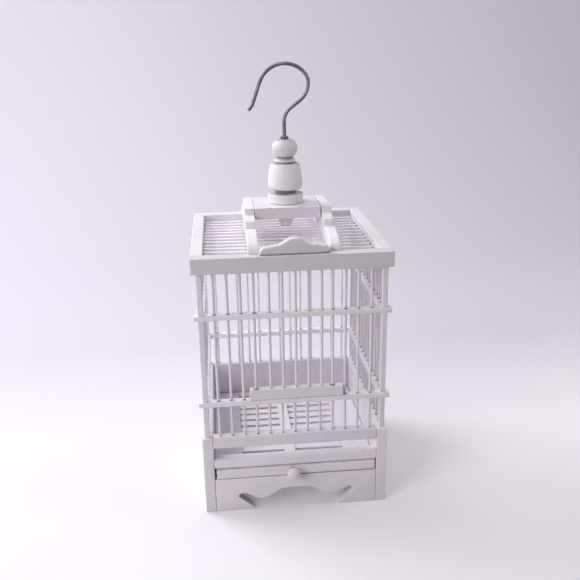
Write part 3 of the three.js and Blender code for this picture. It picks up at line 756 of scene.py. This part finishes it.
# A strip lies across a wall and is bored for the bars. The bars that slide in it have wider holes.
def strip(low, high, axis, places, sliding=()):
    middle = (low[1] + high[1]) / 2 if axis == "x" else (low[0] + high[0]) / 2
    sizes = [(place, barRadius + grilleLook["boredGap"]) for place in places]
    sizes += [(place, barRadius + grilleLook["slidingGap"]) for place in sliding]
    rows = [rectangle((low[0], low[1]), (high[0], high[1]), 0.9, 3)]
    for place, radius in sizes:
        rows.append(roundHole((place, middle) if axis == "x" else (middle, place), radius))
    return board(rows, "z", low[2], high[2], edge=0.45, steps=3, uneven=0.08)


def makeStrips():
    everyX = [middleX + step for step in barSteps]
    everyY = [middleY + step for step in barSteps]
    low, high = cornersOf("front_lower_strip")
    low[2] = lowerStrip
    makePiece("front_lower_strip_board", strip(low, high, "x", everyX), frontX, nodes=["front_lower_strip"])
    low, high = cornersOf("front_upper_strip")
    makePiece("front_upper_strip", strip(low, high, "x", fixedPlaces, doorPlaces), frontX)
    walls = (("back", "x", everyX, lightenedX), ("left", "y", everyY, alongY), ("right", "y", everyY, alongY))
    for side, axis, places, finish in walls:
        low, high = cornersOf(side + "_upper_strip")
        makePiece(side + "_upper_strip", strip(low, high, axis, places), finish)
        low[2], high[2] = lowerStrip, lowerStrip + grilleLook["stripHeight"]
        node = side + "_bars_and_lower_strip"
        makePiece(side + "_lower_strip", strip(low, high, axis, places), finish, nodes=[node])


handleLook = {  # the crest, reach from the middle and height
    "crownReach": 1.5,
    "shoulder": (18, 9.3),
    "endHeight": 7.5,
    "endRound": 6,
    "endFoot": 1.5,
    "edge": 2,
    "barDepth": 5,  # of the bars' ends in the crest
}


def makeDoor():
    holes = [((x, frontY), barRadius + grilleLook["railGap"]) for x in guidePlaces]
    makePiece("door_rail", plank("door_rail", "z", holes, corner=1.1), alongX, "door")
    low, high = cornersOf("door_bar_1")
    foot, head = low[2], high[2]
    railTop = cornersOf("door_rail")[1][2]
    joints = (railTop - foot, roofTop - foot, head - handleLook["barDepth"] - foot)
    for index, x in enumerate(doorPlaces):
        shape = roundBar((x, frontY, foot), (x, frontY, head), joints, index + 60, 0.12)
        makePiece("door_bar_" + str(index + 1), shape, barZ, "door")
    makePiece("door_handle_board", handleBoard(), dimmedX, "door")


# The crest's right half is a smooth wave, a straight slope and a rounded end.
def handleBoard():
    look = handleLook
    low, high = cornersOf("door_handle_board")
    centre, height = (low[0] + high[0]) / 2, high[2] - low[2]
    reach = high[0] - centre
    crown, shoulder = (look["crownReach"], height), look["shoulder"]
    end, corner = (reach - look["endRound"], look["endHeight"]), (reach, look["endHeight"])
    right = np.concatenate([
        np.array([crown]),
        easeEdge(crown, shoulder),
        lineTo(shoulder, end, 3),
        quarterEdge(end, corner, (reach, look["endFoot"])),
        np.array([(reach, 0.0)]),
    ])
    outline = mirroredOutline(right, centre, low[2])
    return board([outline], "y", low[1], high[1], edge=look["edge"], steps=6)


def makeRoof():
    holes = [((x, frontY), barRadius + grilleLook["slidingGap"]) for x in doorPlaces]
    makePiece("roof_front_rail", plank("roof_front_rail", "z", holes, edge=0.9, corner=1.2), dimmedX)
    makePiece("roof_back_rail", plank("roof_back_rail", "z", edge=0.9, corner=1.2), alongX)
    makePiece("roof_right_rail", plank("roof_right_rail", "y", edge=0.5, corner=1.1), alongY)
    low, high = cornersOf("roof_right_rail")
    row = rectangle((-high[0], low[2]), (-low[0], high[2]), 1.1)  # the left rail mirrors the right one
    makePiece("roof_left_rail", board([row], "y", low[1], high[1], edge=0.5), alongY)
    level, inner, width = (low[2] + high[2]) / 2, low[0], high[0] - low[0]
    joints = (width / 2, width / 2 + 2 * inner)
    bars = []
    for index, step in enumerate(barSteps):
        start = (-inner - width / 2, middleY + step, level)
        end = (inner + barLook["roofDepth"], middleY + step, level)
        bars.append(roundBar(start, end, joints, index + 80))
    makePiece("roof_bars", joined(bars), lightenedX, nodes=["roof_left_rail"])


bridgeLook = {  # reach from the middle and height above the roof
    "boardReach": 29,
    "ledgeReach": 45,
    "ledgeHeight": 24.5,
    "ledgeEnd": 20,
    "notchHeight": 12,
    "lobeReach": 58,
    "lobeHeight": 15.5,
    "toeHeight": 1.5,
    "openJoint": (0.1, 0, 0, 0.6, 0, 0),  # paint hasn't filled the cross board's right joint
}


def makeBridge():
    for side in ("left", "right"):
        name = "bridge_" + side + "_side"
        makePiece(name, bridgeSide(name), brightY)
    hole = ((stackX, middleY), hookLook["wireRadius"] + grilleLook["boredGap"])
    cross = plank("bridge_cross_board", "z", [hole], corner=1.1, trim=bridgeLook["openJoint"])
    makePiece("bridge_cross_board", cross, alongX)


# The side's right half goes down from the cross board over a rounded ledge, a notch and a lobe,
# each an elliptic quarter.
def bridgeSide(name):
    look = bridgeLook
    low, high = cornersOf(name)
    toe, height = high[1] - middleY, high[2] - low[2]
    reach, ledge, lobe = look["boardReach"], look["ledgeReach"], look["lobeReach"]
    ledgeHeight, ledgeEnd, notch = look["ledgeHeight"], look["ledgeEnd"], look["notchHeight"]
    lobeHeight, toeHeight = look["lobeHeight"], look["toeHeight"]
    right = np.concatenate([
        np.array([(reach, height)]),
        lineTo((reach, height), (reach, ledgeHeight), 4),
        quarterEdge((reach, ledgeHeight), (ledge, ledgeHeight), (ledge, ledgeEnd)),
        lineTo((ledge, ledgeEnd), (ledge, notch), 4),
        quarterEdge((ledge, notch), (ledge, lobeHeight), (lobe, lobeHeight)),
        quarterEdge((lobe, lobeHeight), (toe, lobeHeight), (toe, toeHeight), 12),
        np.array([(toe, 0.0)]),
    ])
    outline = mirroredOutline(right, middleY, low[2])
    return board([outline], "x", low[0], high[0])


beadLook = {
    "collarEdge": 1.1,
    "bellFoot": 15.2,
    "belly": (18.6, 4.5),  # radius and height
    "bellSide": (17.8, 14),
    "bellShoulder": (16.2, 23.5),
    "bellTop": 12.6,
    "ringCore": 9.2,
    "ringRise": 1.1,
    "ballFlat": 8,
    "stopFlat": 5,
}


# A disc's edge with quarter rounds below and above.
def discEdge(radius, bottom, top, rounding, steps=6):
    turn = np.linspace(0, math.pi / 2, steps + 1)
    risen, closed = rounding * (1 - np.sin(turn)), rounding * (1 - np.cos(turn))
    lower = np.stack([radius - risen, bottom + closed], axis=1)
    upper = np.stack([radius - closed, top - risen], axis=1)
    return np.concatenate([lower, upper])


# An oval bead's edge: the sine and the cosine of a turn that leaves out a flat below and above.
def ovalEdge(radius, flat, height, steps=28):
    turn = np.linspace(math.asin(flat / radius), math.pi - math.asin(flat / radius), steps)
    half = height / 2 / math.cos(turn[0])
    return np.stack([radius * np.sin(turn), height / 2 - half * np.cos(turn)], axis=1)


# The ring lies between two short cores that are thinner than it.
def ringEdge(radius, height):
    core, rise = beadLook["ringCore"], beadLook["ringRise"]
    ring = discEdge(radius, rise, height - rise, rise)
    return np.concatenate([[(core, 0), (core, rise)], ring, [(core, height - rise), (core, height)]])


# A smooth line through the given points: each stretch is a cubic, and the slope at a point is half
# the step from the point before it to the one after it.
def smoothLine(points, steps):
    points = np.array(points, float)
    full = np.concatenate([[2 * points[0] - points[1]], points, [2 * points[-1] - points[-2]]])
    share = np.linspace(0, 1, steps + 1)[:-1, None]
    rows = []
    for before, start, end, after in zip(full, full[1:], full[2:], full[3:]):
        cubic = 2 * start + (end - before) * share + (2 * before - 5 * start + 4 * end - after) * share**2
        rows.append((cubic + (3 * start - before - 3 * end + after) * share**3) / 2)
    return np.concatenate([*rows, points[-1:]])


# The bell's edge: a quarter round at its foot, a side that hardly bulges and a rounded shoulder.
def bellEdge(height):
    look = beadLook
    foot, belly, shoulder = (look["bellFoot"], 0), look["belly"], look["bellShoulder"]
    return np.concatenate([
        np.array([foot]),
        quarterEdge(foot, (belly[0], 0), belly),
        smoothLine([belly, look["bellSide"], shoulder], 8)[1:],
        quarterEdge(shoulder, (shoulder[0] - 0.5, height), (look["bellTop"], height), 10),
    ])


def radiusAndHeight(node):
    low, high = cornersOf(node)
    return (high[0] - low[0]) / 2, high[2] - low[2]


# A bead about the hook's line. Its painted shade and dirt fade from both ends as a bell curve does.
def makeBead(name, edge, finish, body="cage", sides=96, shadeAndDirtReach=1.6, shadeAndDirtiest=0.55):
    low, high = cornersOf(name)
    fromEnds = np.minimum(edge[:, 1], high[2] - low[2] - edge[:, 1])
    shadeAndDirt = shadeAndDirtiest * np.exp(-((fromEnds / shadeAndDirtReach) ** 2))
    shape = turned(edge, (stackX, middleY, low[2]), sides, shadeAndDirt)
    makePiece(name, shape, finish, body, smoothAngle=50)


def makeBeads():
    look = beadLook
    radius, height = radiusAndHeight("finial_collar")
    edge = discEdge(radius, 0, height, look["collarEdge"])
    makeBead("finial_collar", edge, roundZ, shadeAndDirtReach=0.5, shadeAndDirtiest=0.1)
    radius, height = radiusAndHeight("finial_neck")
    edge = discEdge(radius, 0, height, 0.4, 3)
    makeBead("finial_neck", edge, shadedNeckWood, sides=64, shadeAndDirtReach=1.2)
    height = radiusAndHeight("finial_bell")[1]
    makeBead("finial_bell", bellEdge(height), roundZ)
    radius, height = radiusAndHeight("finial_ring")
    makeBead("finial_ring", ringEdge(radius, height), roundZ, sides=72)
    radius, height = radiusAndHeight("finial_ball")
    makeBead("finial_ball", ovalEdge(radius, look["ballFlat"], height), ballZ)
    radius, height = radiusAndHeight("hook_stop_bead")
    edge = ovalEdge(radius, look["stopFlat"], height)
    makeBead("hook_stop_bead", edge, roundZ, "hook", sides=48, shadeAndDirtReach=1)
    radius, height = radiusAndHeight("hook_ferrule")
    makeBead("hook_ferrule", discEdge(radius, 0, height, 0.5, 4), hookSteel, "hook", 40)


hookLook = {
    "wireRadius": 1.9,
    "shaft": 14.7,  # straight wire above the ferrule
    # from the shaft on, a straight run is its length, and a bend its radius and degrees to the left
    "stretches": [(17.5, -53), 12, (22.5, 53), (13.7, 38), (27.3, 122), 22.8, (8, -18), 5.5],
    "endRecess": 1,  # of the wire's end in the stop bead
    "spacing": 1.2,  # of the rings along the wire
    "sides": 20,
    "tipReach": 0.6,  # of the rounded ends, as a share of the radius
    "tipSteps": 5,
    "tipClosing": 0.95,  # how nearly the ends close to a point
}


# The wire's middle line: the shaft, then each run or bend goes on from the end of the one before it.
def hookLine():
    look = hookLook
    end = cornersOf("hook_stop_bead")[0][2] + look["endRecess"]
    shaftTop = cornersOf("hook_ferrule")[1][2] + look["shaft"]
    place, heading = np.array([0, shaftTop]), math.pi / 2
    rows = [np.array([[0, end]]), lineTo((0, end), place, 4)]
    for stretch in look["stretches"]:
        if isinstance(stretch, tuple):
            radius, turn = stretch
            sense = math.copysign(1, turn)
            centre = place + sense * radius * np.array([-math.sin(heading), math.cos(heading)])
            steps = math.ceil(radius * math.radians(abs(turn)) / look["spacing"])
            angle = heading + np.linspace(0, math.radians(turn), steps + 1)[1:]
            row = centre + sense * radius * np.stack([np.sin(angle), -np.cos(angle)], axis=1)
            heading = angle[-1]
        else:
            run = stretch * np.array([math.cos(heading), math.sin(heading)])
            row = lineTo(place, place + run, look["spacing"])
        rows.append(row)
        place = row[-1]
    return np.concatenate(rows)


# A round section carried along the wire's line. Its rings stand square to the line, and at both
# ends they shrink as a half ball does.
def hookWire():
    look = hookLook
    radius, sides, tipSteps = look["wireRadius"], look["sides"], look["tipSteps"]
    line = hookLine()
    ahead = np.gradient(line, axis=0)
    ahead /= np.linalg.norm(ahead, axis=1)[:, None]
    turn = np.linspace(0, math.pi / 2, tipSteps + 1)[1:]
    tip = look["tipReach"] * radius * (np.sin(turn) - 1)
    tipRadii = radius * np.cos(turn * look["tipClosing"])
    headEnd = line[-1] + np.outer(tip, ahead[-1])
    tailEnd = line[0] - np.outer(tip, ahead[0])
    centres = np.concatenate([tailEnd[::-1], line[1:-1], headEnd])
    copies = np.repeat([tipSteps, 1, tipSteps], [1, len(line) - 2, 1])
    aheads = np.repeat(ahead, copies, axis=0)
    radii = np.concatenate([tipRadii[::-1], np.full(len(line) - 2, radius), tipRadii])
    angle = 2 * math.pi * np.arange(sides) / sides
    aside = np.stack([-aheads[:, 1], aheads[:, 0]], axis=1)
    across = centres[:, None, :] + (radii[:, None] * np.cos(angle))[:, :, None] * aside[:, None, :]
    depth = -radii[:, None] * np.sin(angle)
    points = np.stack([across[..., 0] + stackX, depth + middleY, across[..., 1]], axis=-1)
    return makeShape(points.reshape(-1, 3), tubeFaces(len(centres), sides))


def makeHook():
    makePiece("hook", hookWire(), hookSteel, "hook", smoothAngle=60)


room = {
    "floorFront": -1.6,
    "wallStart": 0.75,
    "wallTop": 2.6,
    "halfWidth": 2.4,
    "sweepRadius": 0.7,
    "paper": tone(213, 208, 216),
    # painted shade: the wall's tone is darker than the floor's
    "shadedWallPaper": tone(196, 189, 200),
    "changeFrom": 0.08,  # where the paper turns from the floor's tone to the wall's, behind the cage
    "changeTo": 0.36,
    "glow": 0.27,  # seen by the camera alone, it keeps the shadows light
}


# The sweep's line, floor, quarter circle and wall, is carried from left to right.
def makeRoom():
    radius, start = room["sweepRadius"], room["wallStart"]
    turn = np.linspace(0, math.pi / 2, 33)
    curve = np.stack([start + radius * np.sin(turn), radius * (1 - np.cos(turn))], axis=1)
    line = np.concatenate([[(room["floorFront"], 0)], curve, [(start + radius, room["wallTop"])]])
    wide = np.array([-room["halfWidth"], room["halfWidth"]])
    points = np.stack(np.broadcast_arrays(wide[None, :], line[:, 0][:, None], line[:, 1][:, None]), axis=-1)
    index = np.arange(len(line) * 2).reshape(-1, 2)
    faces = np.stack([index[:-1, 0], index[:-1, 1], index[1:, 1], index[1:, 0]], axis=1).tolist()
    mesh = bpy.data.meshes.new("paper_sweep")
    mesh.from_pydata(points.reshape(-1, 3).tolist(), [], faces)
    mesh.shade_smooth()
    mesh.materials.append(palePaper())
    sweep = bpy.data.objects.new("paper_sweep", mesh)
    bpy.context.scene.collection.objects.link(sweep)


def palePaper():
    finish = Finish("pale paper")
    depth = finish.add("SeparateXYZ", {}, {0: finish.place}, 1)
    colour = finish.ramp(depth, (room["changeFrom"], room["paper"]), (room["changeTo"], room["shadedWallPaper"]))
    seen = finish.add("LightPath", {}, {}, "Is Camera Ray")
    glow = finish.mix(seen, (0, 0, 0, 1), colour)
    strength = room["glow"]
    return finish.surface(Base_Color=colour, Roughness=0.9, Emission_Color=glow, Emission_Strength=strength)


lampAim = (0, 0, 0.2)
lamps = {
    "window": {"place": (-1.15, 0.75, 1.35), "size": 0.9, "power": 23, "colour": (0.91, 0.98, 1)},
    "left": {"place": (-1.3, -1.1, 0.9), "size": 0.9, "power": 17.8, "colour": (1, 0.98, 0.93)},
    "right": {"place": (1.4, -0.1, 0.9), "size": 1.0, "power": 8, "colour": (1, 0.976, 0.91)},
    "ceiling": {"place": (-0.1, 0.1, 1.8), "size": 1.3, "power": 11.5, "colour": (1, 0.989, 0.97)},
}
sky = {
    "colour": (0.98, 0.96, 1, 1),
    "strength": 0.03,  # of its light
    "seen": 0.7,  # by the camera and in reflections
}


def makeLight():
    for name, lamp in lamps.items():
        data = bpy.data.lights.new(name, "AREA")
        data.energy, data.size, data.color = lamp["power"], lamp["size"], lamp["colour"]
        made = bpy.data.objects.new(name, data)
        made.location = lamp["place"]
        made.rotation_euler = (Vector(lampAim) - Vector(lamp["place"])).to_track_quat("-Z", "Y").to_euler()
        bpy.context.scene.collection.objects.link(made)
    world = bpy.data.worlds.new("world")
    bpy.context.scene.world = world
    finish = Finish("sky", world)
    seen = finish.add("LightPath", {}, {}, "Is Camera Ray")
    for kind in ("Glossy", "Transmission"):
        seen = seen + finish.add("LightPath", {}, {}, "Is " + kind + " Ray")
    strength = seen * sky["seen"] + sky["strength"]
    background = finish.add("Background", {}, {"Color": sky["colour"], "Strength": strength})
    finish.add("OutputWorld", {}, {0: background})


makeCamera()
makeRoom()
makeLight()
print("camera, room and light made")
makeBase()
makeDrawer()
print("base and drawer made")
makeWalls()
makeDoor()
print("walls and door made")
makeRoof()
makeBridge()
makeBeads()
makeHook()
print("roof, bridge, beads and hook made")

bpy.context.scene.view_settings.view_transform = "Standard"
